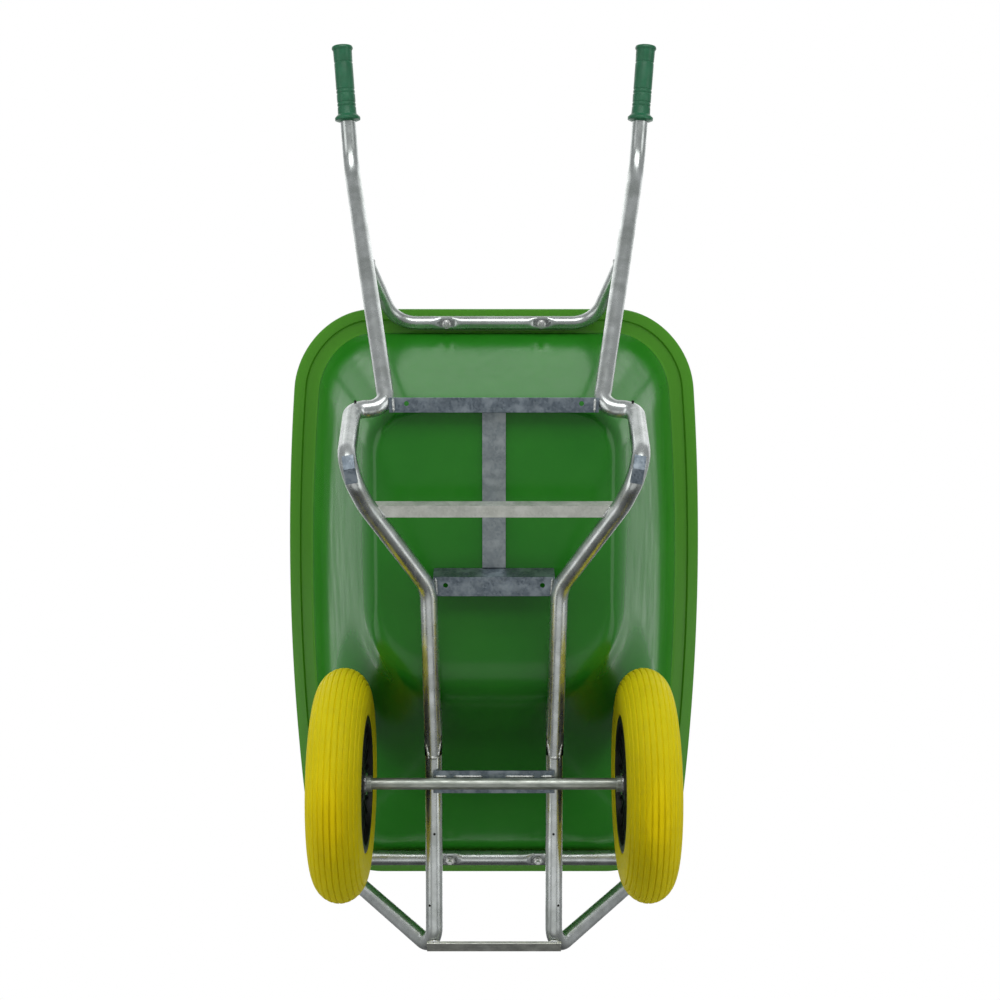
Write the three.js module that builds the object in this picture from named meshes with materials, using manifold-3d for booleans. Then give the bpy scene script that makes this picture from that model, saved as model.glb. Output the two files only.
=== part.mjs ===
// Two-wheeled garden barrow: a deep moulded tray bolted to a frame of bent
// round tube, with a fixed axle that carries two puncture-proof wheels.
// Millimetres, +Z up. The handles point to +Y, the nose to -Y. Seen by a
// person holding the handles, the left side is +X.

import * as THREE from 'three';
import { mergeVertices } from 'three/addons/utils/BufferGeometryUtils.js';
import Module from 'manifold-3d';

const wasm = await Module();
wasm.setup();

// ---------- Driving dimensions ----------
// Heights are above the ground; y is measured from the feet.

const GAP = 0.3; // left between pieces that touch

const TUBE = { radius: 15, wall: 1.5 }; // handles, legs, rails, front loop
const RIM_TUBE = { radius: 12.5, wall: 1.5 }; // hoop under the rear lip

const WHEEL = {
  x: 262.5, // middle of the tyre from the centre plane
  radius: 200,
  sectionHalfWidth: 45.5,
  sectionHalfHeight: 50,
  seatRadius: 118,
  seatHalfWidth: 43,
  barrelWall: 14,
  barrelHalfWidth: 42,
  hubRadius: 27,
  hubHalfWidth: 38,
  webThickness: 6,
  ribs: 12,
  ribThickness: 4,
  ribHalfWidth: 26,
};
const AXLE = { y: -565, z: 200, radius: 10, halfLength: 316 };

const TRAY = {
  thickness: 5,
  floor: { rear: 95, front: -400, halfWidth: 213, rearRadius: 90, frontRadius: 120, bow: 0 },
  lipInner: { rear: 229, front: -836, halfWidth: 363, rearRadius: 110, frontRadius: 110, bow: 34 },
  frontRadiusSwell: 155, // extra front corner radius halfway up, to pass inside the wheels
  floorHeight: 200, // underside of the floor at its rear edge
  floorRise: Math.tan(THREE.MathUtils.degToRad(1.2)), // the floor climbs towards the nose
  rimRear: { y: 270, z: 511 },
  rimFront: { y: -877, z: 626 },
  filletStart: 0.12, // where the floor starts to curve, as a part of the wall's run
  filletEnd: 0.12,
};
const LIP = { width: 41, band: 20, step: 4 }; // the outer band sits one step lower

// Centre-line corners of the tube that is grip, handle, leg and rail in one.
const HANDLE_LEG = [
  { name: 'grip end', at: [292, 767, 570], bend: 0 },
  { name: 'handle bend', at: [276.5, 544, 570], bend: 110 },
  { name: 'rear crossbar', at: [179, 86, 177], bend: 28 },
  { name: 'leg shoulder', at: [238, 86, 177], bend: 26 },
  { name: 'foot', at: [231, 2, -2], bend: 42 },
  { name: 'leg front', at: [205, -64, 49], bend: 150 },
  { name: 'rail bend', at: [110.5, -213, 153], bend: 75 },
  { name: 'rail end', at: [105.7, -540, 232], bend: 0 },
];

const FRONT_TUBE = { x: 106, startY: -440, noseY: -876, bend: 40 };
const FRONT_LOOP_CORNER = { x: 340, y: -842, bend: 50 };
const REAR_HOOP = { cornerX: 189, y: 243.5, bend: 58, handleFraction: 0.6 };

const REAR_ANGLE = { face: 25, flange: 25, thickness: 3, y: 80, halfLength: 176, holeX: 147 };
const FRONT_ANGLE = { face: 35, flange: 42, thickness: 4, y: -197, z: 163, halfLength: 103, holeX: 82 };
const BRACE = { face: 20, flange: 20, thickness: 3, y: -76, halfLength: 193 };
const CENTRE_BAR = { width: 40, thickness: 4, rearY: 79.6, frontY: -186.6 };
const AXLE_BAR = { halfLength: 106, width: 40, thickness: 3.5 };
const NOSE_BAR = { halfLength: 119, width: 23, thickness: 5, aroundBend: THREE.MathUtils.degToRad(31) };
const FOOT_PAD = {
  halfWidth: 9.5,
  front: 12,
  rear: 10.4,
  tail: 22,
  tailLift: THREE.MathUtils.degToRad(20.5),
};
const FOOT_TURN = THREE.MathUtils.degToRad(10); // the legs run inwards towards the nose
const CROSSBAR_HOLE = 4.25; // radius

const GRIP = { length: 143, radius: 17.8, flange: 20.5, collar: 25, endWall: 8 };
const GRIP_SIDES = 16;

const BOLT = { x: 90, radius: 4, headRadius: 10, headHeight: 4.6, hole: 4.6 };
const NUT = { acrossCorners: 15, height: 6.5 };
const WASHER = { radius: 8.5, thickness: 1.6 };
const AXLE_WASHER = { radius: 19, thickness: 3 };
const COLLAR = { radius: 14, length: 8 };
const SPLIT_PIN = { radius: 2, halfLength: 15, fromEnd: 6 };
const BEARING = { radius: 17.5, length: 14 };

const SIDES = [['left', 1], ['right', -1]];

// ---------- Materials ----------

const material = (color, roughness, metalness) =>
  new THREE.MeshStandardMaterial({ color, roughness, metalness });
const galvanised = () => material(0xa9afb1, 0.35, 0.9);
const zincPlated = () => material(0xb8bcbd, 0.3, 0.9);
const darkSteel = () => material(0x6f6f66, 0.5, 0.8);
const trayGreen = () => material(0x3f8a33, 0.35, 0);
const gripGreen = () => material(0x1f5f3c, 0.45, 0);
const tyreYellow = () => material(0xeed800, 0.6, 0);
const rimBlack = () => material(0x161616, 0.5, 0);

// ---------- Solids ----------

function weld(geometry) {
  const bare = geometry.clone();
  bare.deleteAttribute('normal');
  bare.deleteAttribute('uv');
  return mergeVertices(bare, 1e-3);
}

function toSolid(geometry) {
  const welded = weld(geometry);
  return new wasm.Manifold(new wasm.Mesh({
    numProp: 3,
    vertProperties: new Float32Array(welded.attributes.position.array),
    triVerts: new Uint32Array(welded.index.array),
  }));
}

function toGeometry(solid) {
  const mesh = solid.getMesh();
  const geometry = new THREE.BufferGeometry();
  geometry.setAttribute('position', new THREE.BufferAttribute(mesh.vertProperties, 3));
  geometry.setIndex(new THREE.BufferAttribute(mesh.triVerts, 1));
  geometry.computeVertexNormals();
  return geometry;
}

function cut(geometry, ...tools) {
  const solid = tools.reduce((rest, tool) => rest.subtract(toSolid(tool)), toSolid(geometry));
  return toGeometry(solid);
}

function join(...geometries) {
  return toGeometry(geometries.map(toSolid).reduce((sum, piece) => sum.add(piece)));
}

// A solid or hollow round section turned from a profile of [radius, height]
// points about Z. A profile off the axis closes on itself.
function turned(profile, segments) {
  const points = profile.map(([radius, height]) => new THREE.Vector2(radius, height));
  return new THREE.LatheGeometry(points, segments).rotateX(Math.PI / 2);
}

function ring(inner, outer, length, segments) {
  const half = length / 2;
  return turned(
    [[inner, -half], [outer, -half], [outer, half], [inner, half], [inner, -half]],
    segments,
  );
}

function rod(radius, length, segments) {
  return new THREE.CylinderGeometry(radius, radius, length, segments).rotateX(Math.PI / 2);
}

// ---------- Bent tube ----------

// Straight runs between corner points, joined by arcs. Stations are close
// together only on the arcs.
class BentPath extends THREE.Curve {
  constructor(corners, stepAngle = THREE.MathUtils.degToRad(19)) {
    super();
    this.stations = [];
    corners.forEach((corner, i) => {
      const here = new THREE.Vector3(...corner.at);
      if (!corner.bend) {
        this.stations.push(here);
        return;
      }
      const before = new THREE.Vector3(...corners[i - 1].at);
      const after = new THREE.Vector3(...corners[i + 1].at);
      this.addArc(before, here, after, corner.bend, stepAngle);
    });
  }

  addArc(before, corner, after, radius, stepAngle) {
    const into = corner.clone().sub(before).normalize();
    const out = after.clone().sub(corner).normalize();
    const turn = into.angleTo(out);
    const towardsCentre = out.clone().sub(into).normalize();
    const centre = corner.clone().addScaledVector(towardsCentre, radius / Math.cos(turn / 2));
    const spoke = corner.clone().addScaledVector(into, -radius * Math.tan(turn / 2)).sub(centre);
    const axis = into.clone().cross(out).normalize();
    const steps = Math.max(2, Math.ceil(turn / stepAngle));
    for (let i = 0; i <= steps; i += 1) {
      this.stations.push(spoke.clone().applyAxisAngle(axis, (turn * i) / steps).add(centre));
    }
  }

  getPoint(t, target = new THREE.Vector3()) {
    const place = t * (this.stations.length - 1);
    const i = Math.min(Math.floor(place), this.stations.length - 2);
    return target.lerpVectors(this.stations[i], this.stations[i + 1], place - i);
  }

  getUtoTmapping(u) {
    return u;
  }

  get lowest() {
    return this.stations.reduce((low, station) => (station.z < low.z ? station : low));
  }
}

function circlePoints(radius, sides) {
  return Array.from({ length: sides }, (_, i) => {
    const angle = (2 * Math.PI * i) / sides;
    return new THREE.Vector2(radius * Math.cos(angle), radius * Math.sin(angle));
  });
}

function sweep(path, section) {
  return new THREE.ExtrudeGeometry(section, {
    steps: path.stations.length - 1,
    bevelEnabled: false,
    extrudePath: path,
  });
}

function hollowTube(path, size) {
  const section = new THREE.Shape(circlePoints(size.radius, 12));
  section.holes.push(new THREE.Path(circlePoints(size.radius - size.wall, 8).reverse()));
  return sweep(path, section);
}

// The space a tube takes up, used to trim the pieces that are welded to it.
function tubeSpace(path, size) {
  return sweep(path, new THREE.Shape(circlePoints((size.radius + GAP) / Math.cos(Math.PI / 12), 12)));
}

const legCorner = (name) => new THREE.Vector3(...HANDLE_LEG.find((corner) => corner.name === name).at);

function mirrored(corners, side) {
  return corners.map((corner) => ({ ...corner, at: [side * corner.at[0], corner.at[1], corner.at[2]] }));
}

const handleLegPath = (side) => new BentPath(mirrored(HANDLE_LEG, side));

const FRONT_TUBE_HEIGHT = AXLE.z + AXLE.radius + AXLE_BAR.thickness + 2 * GAP + TUBE.radius;
const rimSlope = (TRAY.rimFront.z - TRAY.rimRear.z) / (TRAY.rimRear.y - TRAY.rimFront.y);
const rimTilt = -Math.atan(rimSlope);
const rimHeight = (y) => TRAY.rimRear.z + (TRAY.rimRear.y - y) * rimSlope;
const floorHeight = (y) => TRAY.floorHeight + (TRAY.floor.rear - y) * TRAY.floorRise;
const lipDepth = TRAY.thickness + LIP.step;
const underLip = (y, depth, radius) => rimHeight(y) - (depth + GAP + radius) / Math.cos(rimTilt);

// The rail's end is trimmed flat where the front tube lies on it.
function handleLegTube(side) {
  const [width, length, height] = [4 * TUBE.radius, 20 * TUBE.radius, 4 * TUBE.radius];
  const room = new THREE.BoxGeometry(width, length, height);
  const underFrontTube = FRONT_TUBE_HEIGHT - TUBE.radius - GAP;
  const middleY = FRONT_TUBE.startY + GAP - length / 2;
  room.translate(side * FRONT_TUBE.x, middleY, underFrontTube + height / 2);
  return cut(hollowTube(handleLegPath(side), TUBE), room);
}

function boltHoles(y) {
  return SIDES.map(([, side]) => {
    const hole = rod(BOLT.hole, 8 * TUBE.radius, 12).rotateX(rimTilt);
    return hole.translate(side * BOLT.x, y, rimHeight(y));
  });
}

const frontLoopHeight = underLip(FRONT_LOOP_CORNER.y, TRAY.thickness, TUBE.radius);

function frontLoopPath() {
  const { x, startY, noseY, bend } = FRONT_TUBE;
  const corner = FRONT_LOOP_CORNER;
  const half = [
    { at: [x, startY, FRONT_TUBE_HEIGHT], bend: 0 },
    { at: [x, noseY, FRONT_TUBE_HEIGHT], bend },
    { at: [corner.x, corner.y, frontLoopHeight], bend: corner.bend },
  ];
  return new BentPath([...half, ...mirrored(half, -1).reverse()]);
}

function frontLoop() {
  return cut(hollowTube(frontLoopPath(), TUBE), ...boltHoles(FRONT_LOOP_CORNER.y));
}

// The hoop's ends meet the handle tubes and are trimmed to their surface.
function rearHoop() {
  const joint = legCorner('rear crossbar').lerp(legCorner('handle bend'), REAR_HOOP.handleFraction);
  const { cornerX, y, bend } = REAR_HOOP;
  const half = [
    { at: joint.toArray(), bend: 0 },
    { at: [cornerX, y, underLip(y, lipDepth, RIM_TUBE.radius)], bend },
  ];
  const path = new BentPath([...half, ...mirrored(half, -1).reverse()]);
  const handles = SIDES.map(([, side]) => tubeSpace(handleLegPath(side), TUBE));
  return cut(hollowTube(path, RIM_TUBE), ...handles, ...boltHoles(y));
}

// ---------- Bars ----------

// A section of [y, z] points run along X.
function crossPiece(section, halfLength) {
  const shape = new THREE.Shape(section.map(([y, z]) => new THREE.Vector2(y, z)));
  const bar = new THREE.ExtrudeGeometry(shape, { depth: 2 * halfLength, bevelEnabled: false });
  return bar.translate(0, 0, -halfLength).rotateX(Math.PI / 2).rotateZ(Math.PI / 2);
}

// An angle section: a face that reaches to +Y from the corner, and a flange
// that stands up from it.
function angleBar({ face, flange, thickness, halfLength }) {
  const section = [
    [0, 0],
    [face, 0],
    [face, thickness],
    [thickness, thickness],
    [thickness, flange],
    [0, flange],
  ];
  return crossPiece(section, halfLength);
}

function railSpaces() {
  return SIDES.map(([, side]) => tubeSpace(handleLegPath(side), TUBE));
}

function throughHoles(x, y, z) {
  return SIDES.map(([, side]) => rod(CROSSBAR_HOLE, 30, 12).translate(side * x, y, z));
}

function rearCrossbar() {
  const { face, flange, y, holeX } = REAR_ANGLE;
  const z = floorHeight(y) - GAP - flange;
  const bar = angleBar(REAR_ANGLE).translate(0, y, z);
  return cut(bar, ...railSpaces(), ...throughHoles(holeX, y + 0.6 * face, z));
}

function frontCrossbar() {
  const { face, y, z, holeX } = FRONT_ANGLE;
  const rail = legCorner('rail end').sub(legCorner('rail bend'));
  const railTilt = -Math.atan2(rail.z, -rail.y);
  const bar = angleBar(FRONT_ANGLE).rotateZ(Math.PI).rotateX(railTilt).translate(0, y, z);
  return cut(bar, ...railSpaces(), ...throughHoles(holeX, y - 0.42 * face, z));
}

function legBrace() {
  const legFront = legCorner('leg front');
  const run = legCorner('rail bend').sub(legFront);
  const z = legFront.z + run.z * (BRACE.y - legFront.y) / run.y;
  const halfSlope = Math.atan2(run.z, -run.y) / 2;
  const bar = angleBar(BRACE).rotateZ(Math.PI).translate(0, BRACE.face / 2, 0);
  return cut(bar.rotateX(-halfSlope).translate(0, BRACE.y, z), ...railSpaces());
}

function centreBar() {
  const { width, thickness, rearY, frontY } = CENTRE_BAR;
  const bar = new THREE.BoxGeometry(width, rearY - frontY, thickness);
  const middle = (rearY + frontY) / 2;
  bar.rotateX(-Math.atan(TRAY.floorRise));
  return bar.translate(0, middle, floorHeight(middle) - 2 * GAP - thickness / 2);
}

function axleBar() {
  const { halfLength, width, thickness } = AXLE_BAR;
  const bar = new THREE.BoxGeometry(2 * halfLength, width, thickness);
  return bar.translate(0, AXLE.y, AXLE.z + AXLE.radius + GAP + thickness / 2);
}

// Lies against the outside of the bends where the front tubes turn up.
function noseBar() {
  const { halfLength, width, thickness, aroundBend } = NOSE_BAR;
  const reach = FRONT_TUBE.bend + TUBE.radius + GAP + thickness / 2;
  const bar = new THREE.BoxGeometry(2 * halfLength, width, thickness).translate(0, 0, -reach);
  const bendStart = FRONT_TUBE.noseY + FRONT_TUBE.bend;
  bar.rotateX(-aroundBend).translate(0, bendStart, FRONT_TUBE_HEIGHT + FRONT_TUBE.bend);
  return cut(bar, tubeSpace(frontLoopPath(), TUBE));
}

// A wear plate between the ground and the lowest point of the leg, with a
// tail that is bent up to follow the leg.
function footPad(side) {
  const { halfWidth, front, rear, tail, tailLift } = FOOT_PAD;
  const lowest = handleLegPath(side).lowest;
  const thickness = lowest.z - TUBE.radius - GAP;
  const [along, across] = [Math.cos(tailLift), Math.sin(tailLift)];
  const section = [
    [-front, 0],
    [rear + thickness * Math.tan(tailLift / 2), 0],
    [rear + tail * along + thickness * across, tail * across + thickness * (1 - along)],
    [rear + tail * along, tail * across + thickness],
    [rear, thickness],
    [-front, thickness],
  ];
  return crossPiece(section, halfWidth).rotateZ(-side * FOOT_TURN).translate(lowest.x, lowest.y, 0);
}

// ---------- Tray ----------

function blendOutline(a) {
  const { floor, lipInner, frontRadiusSwell } = TRAY;
  const mix = (key) => THREE.MathUtils.lerp(floor[key], lipInner[key], a);
  const swell = frontRadiusSwell * 4 * Math.max(0, a * (1 - a));
  return {
    rear: mix('rear'),
    front: mix('front'),
    halfWidth: mix('halfWidth'),
    rearRadius: mix('rearRadius'),
    frontRadius: mix('frontRadius') + swell,
    bow: mix('bow'),
  };
}

// One closed ring of the tray seen from above, grown outwards by `out`.
function outlineRing(a, out) {
  const base = blendOutline(a);
  const rear = base.rear + out;
  const front = base.front - out;
  const halfWidth = base.halfWidth + out;
  const rearRadius = base.rearRadius + out;
  const frontRadius = base.frontRadius + out;
  const corner = (y, radius, from) => Array.from({ length: 7 }, (_, i) => {
    const angle = from - (i / 6) * (Math.PI / 2);
    return [halfWidth - radius + radius * Math.cos(angle), y + radius * Math.sin(angle)];
  });
  const sideEnds = [rear - rearRadius, front + frontRadius];
  const sides = [0.25, 0.5, 0.75].map((t) => [halfWidth, THREE.MathUtils.lerp(...sideEnds, t)]);
  const half = [
    ...corner(sideEnds[0], rearRadius, Math.PI / 2),
    ...sides,
    ...corner(sideEnds[1], frontRadius, 0),
  ];
  const middle = (rear + front) / 2;
  const bowed = half.map(([x, y]) => {
    const along = (2 * (y - middle)) / (rear - front);
    return [x - base.bow * along * along * (x / halfWidth), y];
  });
  const other = bowed.map(([x, y]) => [-x, y]).reverse();
  return [[0, rear], ...bowed, [0, front], ...other];
}

// `h` lifts the ring from the floor plane (0) to the rim plane (1).
function trayRing([a, h, out, lift]) {
  return outlineRing(a, out).map(([x, y]) => (
    [x, y, THREE.MathUtils.lerp(floorHeight(y), rimHeight(y), h) + lift]
  ));
}

// The curve from floor to wall and the wall above it, as [a, h] pairs.
function floorAndWall() {
  const { filletStart, filletEnd } = TRAY;
  const fillet = [0, 0.35, 0.7, 1].map((t) => (
    [-filletStart * (1 - t) ** 2 + filletEnd * t ** 2, filletEnd * t ** 2]
  ));
  const wall = [0.25, 0.4, 0.55, 0.75].map((a) => [a, a]);
  return [...fillet, ...wall];
}

function trayProfile() {
  const t = TRAY.thickness;
  const { width, band, step } = LIP;
  const low = -step - t;
  const underside = floorAndWall().map(([a, h]) => [a, h, 0, 0]);
  const lip = [
    [-4, -t - 1],
    [0, -t],
    [width - band - 2, -t],
    [width - band, low],
    [width - 3, low],
    [width, low + 2],
    [width, -step - 1],
    [width - 2, -step],
    [width - band + 3, -step],
    [width - band + 1, 0],
    [-1, 0],
    [-7, -2],
  ].map(([out, lift]) => [1, 1, out, lift]);
  const inside = floorAndWall().reverse().map(([a, h]) => [a, h, -3, t]);
  return [...underside, ...lip, ...inside];
}

function tray() {
  const rings = trayProfile().map(trayRing);
  const count = rings[0].length;
  const middleY = (TRAY.floor.rear + TRAY.floor.front) / 2;
  const centre = (lift) => [0, middleY, floorHeight(middleY) + lift];
  const points = [...rings.flat(), centre(0), centre(TRAY.thickness)];
  const [below, above] = [points.length - 2, points.length - 1];
  const index = [];
  for (let i = 0; i < count; i += 1) {
    const next = (i + 1) % count;
    const last = (rings.length - 1) * count;
    index.push(below, i, next, above, last + next, last + i);
    for (let r = 0; r < rings.length - 1; r += 1) {
      const low = r * count;
      const high = low + count;
      index.push(low + i, high + next, low + next, low + i, high + i, high + next);
    }
  }
  const geometry = new THREE.BufferGeometry();
  geometry.setAttribute('position', new THREE.Float32BufferAttribute(points.flat(), 3));
  geometry.setIndex(index);
  return cut(geometry, ...boltHoles(REAR_HOOP.y), ...boltHoles(FRONT_LOOP_CORNER.y));
}

// ---------- Wheels ----------

const alongX = (geometry) => geometry.rotateY(Math.PI / 2);

// A round tread, and walls that run almost straight in to the seat.
function tyre() {
  const { radius, sectionHalfWidth, sectionHalfHeight, seatRadius, seatHalfWidth } = WHEEL;
  const middle = radius - sectionHalfHeight;
  const tread = Array.from({ length: 13 }, (_, i) => {
    const angle = (i / 12) * Math.PI;
    return [middle + sectionHalfHeight * Math.sin(angle), -sectionHalfWidth * Math.cos(angle)];
  });
  const seat = [seatRadius, -seatHalfWidth];
  return alongX(turned([seat, ...tread, [seatRadius, seatHalfWidth], seat], 40));
}

// Moulded in one piece: barrel, hub, web and ribs on both faces.
function rim() {
  const { seatRadius, barrelWall, hubRadius, webThickness, ribs, ribThickness } = WHEEL;
  const bite = 2; // ribs and web run this far into the hub and the barrel
  const barrelInside = seatRadius - barrelWall;
  const barrel = ring(barrelInside, seatRadius - GAP, 2 * WHEEL.barrelHalfWidth, 40);
  const hub = ring(BEARING.radius + GAP, hubRadius, 2 * WHEEL.hubHalfWidth, 24);
  const web = ring(hubRadius - bite, barrelInside + bite, webThickness, 24);
  const run = barrelInside - hubRadius + 2 * bite;
  const spokes = Array.from({ length: ribs }, (_, i) => {
    const rib = new THREE.BoxGeometry(run, ribThickness, 2 * WHEEL.ribHalfWidth);
    rib.translate(hubRadius - bite + run / 2, 0, 0);
    return rib.rotateZ((2 * Math.PI * i) / ribs);
  });
  return alongX(join(barrel, hub, web, ...spokes));
}

function bearing(wheelX, face) {
  const middle = WHEEL.hubHalfWidth - BEARING.length / 2;
  return alongX(ring(AXLE.radius + GAP, BEARING.radius, BEARING.length, 24))
    .translate(wheelX + face * middle, 0, 0);
}

// ---------- Axle hardware ----------

function axle() {
  const pinX = AXLE.halfLength - SPLIT_PIN.fromEnd;
  const holes = SIDES.map(([, side]) => rod(SPLIT_PIN.radius + GAP, 40, 12).translate(side * pinX, 0, 0));
  return cut(alongX(rod(AXLE.radius, 2 * AXLE.halfLength, 24)), ...holes);
}

// Fixed washer on one face of a hub; `face` is +1 outside, -1 inside.
function axleWasher(side, face) {
  const x = WHEEL.x + face * (WHEEL.hubHalfWidth + GAP + AXLE_WASHER.thickness / 2);
  const disc = alongX(ring(AXLE.radius + GAP, AXLE_WASHER.radius, AXLE_WASHER.thickness, 24));
  return disc.translate(side * x, 0, 0);
}

function axleCollar(side) {
  const x = WHEEL.x - WHEEL.hubHalfWidth - 2 * GAP - AXLE_WASHER.thickness - COLLAR.length / 2;
  return alongX(ring(AXLE.radius + GAP, COLLAR.radius, COLLAR.length, 24)).translate(side * x, 0, 0);
}

function splitPin(side) {
  const pin = rod(SPLIT_PIN.radius, 2 * SPLIT_PIN.halfLength, 10);
  return pin.translate(side * (AXLE.halfLength - SPLIT_PIN.fromEnd), 0, 0);
}

// ---------- Grips and fasteners ----------

// Local Z runs from the closed end towards the collar.
function grip() {
  const { length, radius, flange, collar, endWall } = GRIP;
  const bore = (TUBE.radius + GAP) / Math.cos(Math.PI / GRIP_SIDES);
  return turned([
    [0, 0],
    [flange - 2, 0],
    [flange, 3],
    [flange, 6],
    [radius, 9],
    [radius - 0.6, 0.5 * length],
    [radius, length - 12],
    [collar, length - 7],
    [collar, length - 3],
    [bore + 2, length],
    [bore, length],
    [bore, endWall],
    [0, endWall],
  ], GRIP_SIDES);
}

function trayBolt(clamped) {
  const { radius, headRadius, headHeight } = BOLT;
  const length = clamped + WASHER.thickness + NUT.height + 5;
  return turned([
    [0, -length],
    [radius, -length],
    [radius, GAP],
    [headRadius, GAP],
    [0.8 * headRadius, GAP + 0.6 * headHeight],
    [0.45 * headRadius, GAP + 0.95 * headHeight],
    [0, GAP + headHeight],
  ], 16);
}

function nut() {
  const hexagon = new THREE.Shape(circlePoints(NUT.acrossCorners / 2, 6));
  hexagon.holes.push(new THREE.Path(circlePoints(BOLT.radius + GAP, 12).reverse()));
  return new THREE.ExtrudeGeometry(hexagon, { depth: NUT.height, bevelEnabled: false });
}

// ---------- Assembly ----------

const barrow = new THREE.Group();

function add(name, geometry, finish, parent = barrow) {
  const mesh = new THREE.Mesh(geometry, finish);
  mesh.name = name;
  parent.add(mesh);
  return mesh;
}

function addFrame() {
  for (const [name, side] of SIDES) {
    add(`${name}_handle_leg_tube`, handleLegTube(side), galvanised());
    add(`${name}_foot_pad`, footPad(side), zincPlated());
  }
  add('front_loop_tube', frontLoop(), galvanised());
  add('rear_rim_tube', rearHoop(), galvanised());
  add('rear_crossbar', rearCrossbar(), galvanised());
  add('centre_bar', centreBar(), galvanised());
  add('leg_brace', legBrace(), galvanised());
  add('front_crossbar', frontCrossbar(), galvanised());
  add('axle_crossbar', axleBar(), galvanised());
  add('nose_bar', noseBar(), galvanised());
}

function addGrips() {
  for (const [name, side] of SIDES) {
    const otherSide = new THREE.Vector3(side, 1, 1);
    const bend = legCorner('handle bend').multiply(otherSide);
    const end = legCorner('grip end').multiply(otherSide);
    const inward = bend.sub(end).normalize();
    const mesh = add(`${name}_grip`, grip(), gripGreen());
    mesh.position.copy(end).addScaledVector(inward, -GRIP.endWall - GAP);
    mesh.quaternion.setFromUnitVectors(new THREE.Vector3(0, 0, 1), inward);
  }
}

// Each bolt hangs from the lip through its tube, square to the rim plane.
function addTrayBolts() {
  const rows = [
    ['rear', REAR_HOOP.y, lipDepth + 2 * RIM_TUBE.radius],
    ['front', FRONT_LOOP_CORNER.y, TRAY.thickness + 2 * TUBE.radius],
  ];
  for (const [row, y, clamped] of rows) {
    for (const [name, side] of SIDES) {
      const place = new THREE.Group();
      place.position.set(side * BOLT.x, y, rimHeight(y));
      place.rotation.x = rimTilt;
      barrow.add(place);
      const underTube = -clamped - 2 * GAP;
      add(`${row}_${name}_tray_bolt`, trayBolt(clamped), zincPlated(), place);
      const washer = ring(BOLT.radius + GAP, WASHER.radius, WASHER.thickness, 16);
      const disc = add(`${row}_${name}_tray_washer`, washer, zincPlated(), place);
      disc.position.z = underTube - WASHER.thickness / 2;
      const fastener = add(`${row}_${name}_tray_nut`, nut(), zincPlated(), place);
      fastener.position.z = underTube - WASHER.thickness - GAP - NUT.height;
    }
  }
}

function addWheels() {
  const line = new THREE.Group();
  line.position.set(0, AXLE.y, AXLE.z);
  barrow.add(line);
  add('axle', axle(), darkSteel(), line);
  for (const [name, side] of SIDES) {
    const centre = side * WHEEL.x;
    add(`${name}_tyre`, tyre().translate(centre, 0, 0), tyreYellow(), line);
    add(`${name}_rim`, rim().translate(centre, 0, 0), rimBlack(), line);
    add(`${name}_inner_bearing`, bearing(centre, -side), darkSteel(), line);
    add(`${name}_outer_bearing`, bearing(centre, side), darkSteel(), line);
    add(`${name}_inner_washer`, axleWasher(side, -1), zincPlated(), line);
    add(`${name}_outer_washer`, axleWasher(side, 1), zincPlated(), line);
    add(`${name}_axle_collar`, axleCollar(side), darkSteel(), line);
    add(`${name}_split_pin`, splitPin(side), zincPlated(), line);
  }
}

add('tray', tray(), trayGreen());
addFrame();
addGrips();
addTrayBolts();
addWheels();

// The origin is on the ground under the middle of the whole barrow.
const box = new THREE.Box3().setFromObject(barrow, true);
const middle = box.getCenter(new THREE.Vector3());
barrow.position.set(-middle.x, -middle.y, -box.min.z);

export default barrow;
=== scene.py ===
"""A two-wheeled garden barrow with a moulded tray, seen from underneath.

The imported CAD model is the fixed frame. Lengths below are millimetres, with y
measured from the feet as in the CAD, and to_row() turns them into the row frame.
"""

from math import acos, atan, cos, pi, radians, sin, tan

import bpy
import numpy as np
from mathutils import Matrix, Vector


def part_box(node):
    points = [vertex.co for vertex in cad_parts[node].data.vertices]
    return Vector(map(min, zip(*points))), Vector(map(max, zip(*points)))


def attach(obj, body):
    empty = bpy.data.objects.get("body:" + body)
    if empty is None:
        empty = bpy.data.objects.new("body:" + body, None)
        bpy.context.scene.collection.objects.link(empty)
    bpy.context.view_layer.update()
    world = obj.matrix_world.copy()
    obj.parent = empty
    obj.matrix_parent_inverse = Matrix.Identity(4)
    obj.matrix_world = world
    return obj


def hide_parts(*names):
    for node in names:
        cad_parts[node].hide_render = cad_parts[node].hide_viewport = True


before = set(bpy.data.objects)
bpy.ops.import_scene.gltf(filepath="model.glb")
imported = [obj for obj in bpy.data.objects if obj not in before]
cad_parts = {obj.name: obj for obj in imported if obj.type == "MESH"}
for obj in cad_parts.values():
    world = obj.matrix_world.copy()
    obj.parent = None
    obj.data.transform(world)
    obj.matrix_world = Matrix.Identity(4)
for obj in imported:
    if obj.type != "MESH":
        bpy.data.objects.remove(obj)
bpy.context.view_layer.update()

# ---------- Driving dimensions ----------

AXLE_Y, AXLE_Z, AXLE_RADIUS = -565, 200, 10
LOW_TYRE, HIGH_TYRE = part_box("left_tyre")
FEET_Y = (LOW_TYRE.y + HIGH_TYRE.y) / 2 - AXLE_Y / 1000  # the feet's y in the row frame
SIDES = (("left", 1), ("right", -1))
BODY_OF = {"left": "wheel_left", "right": "wheel_right"}

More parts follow.
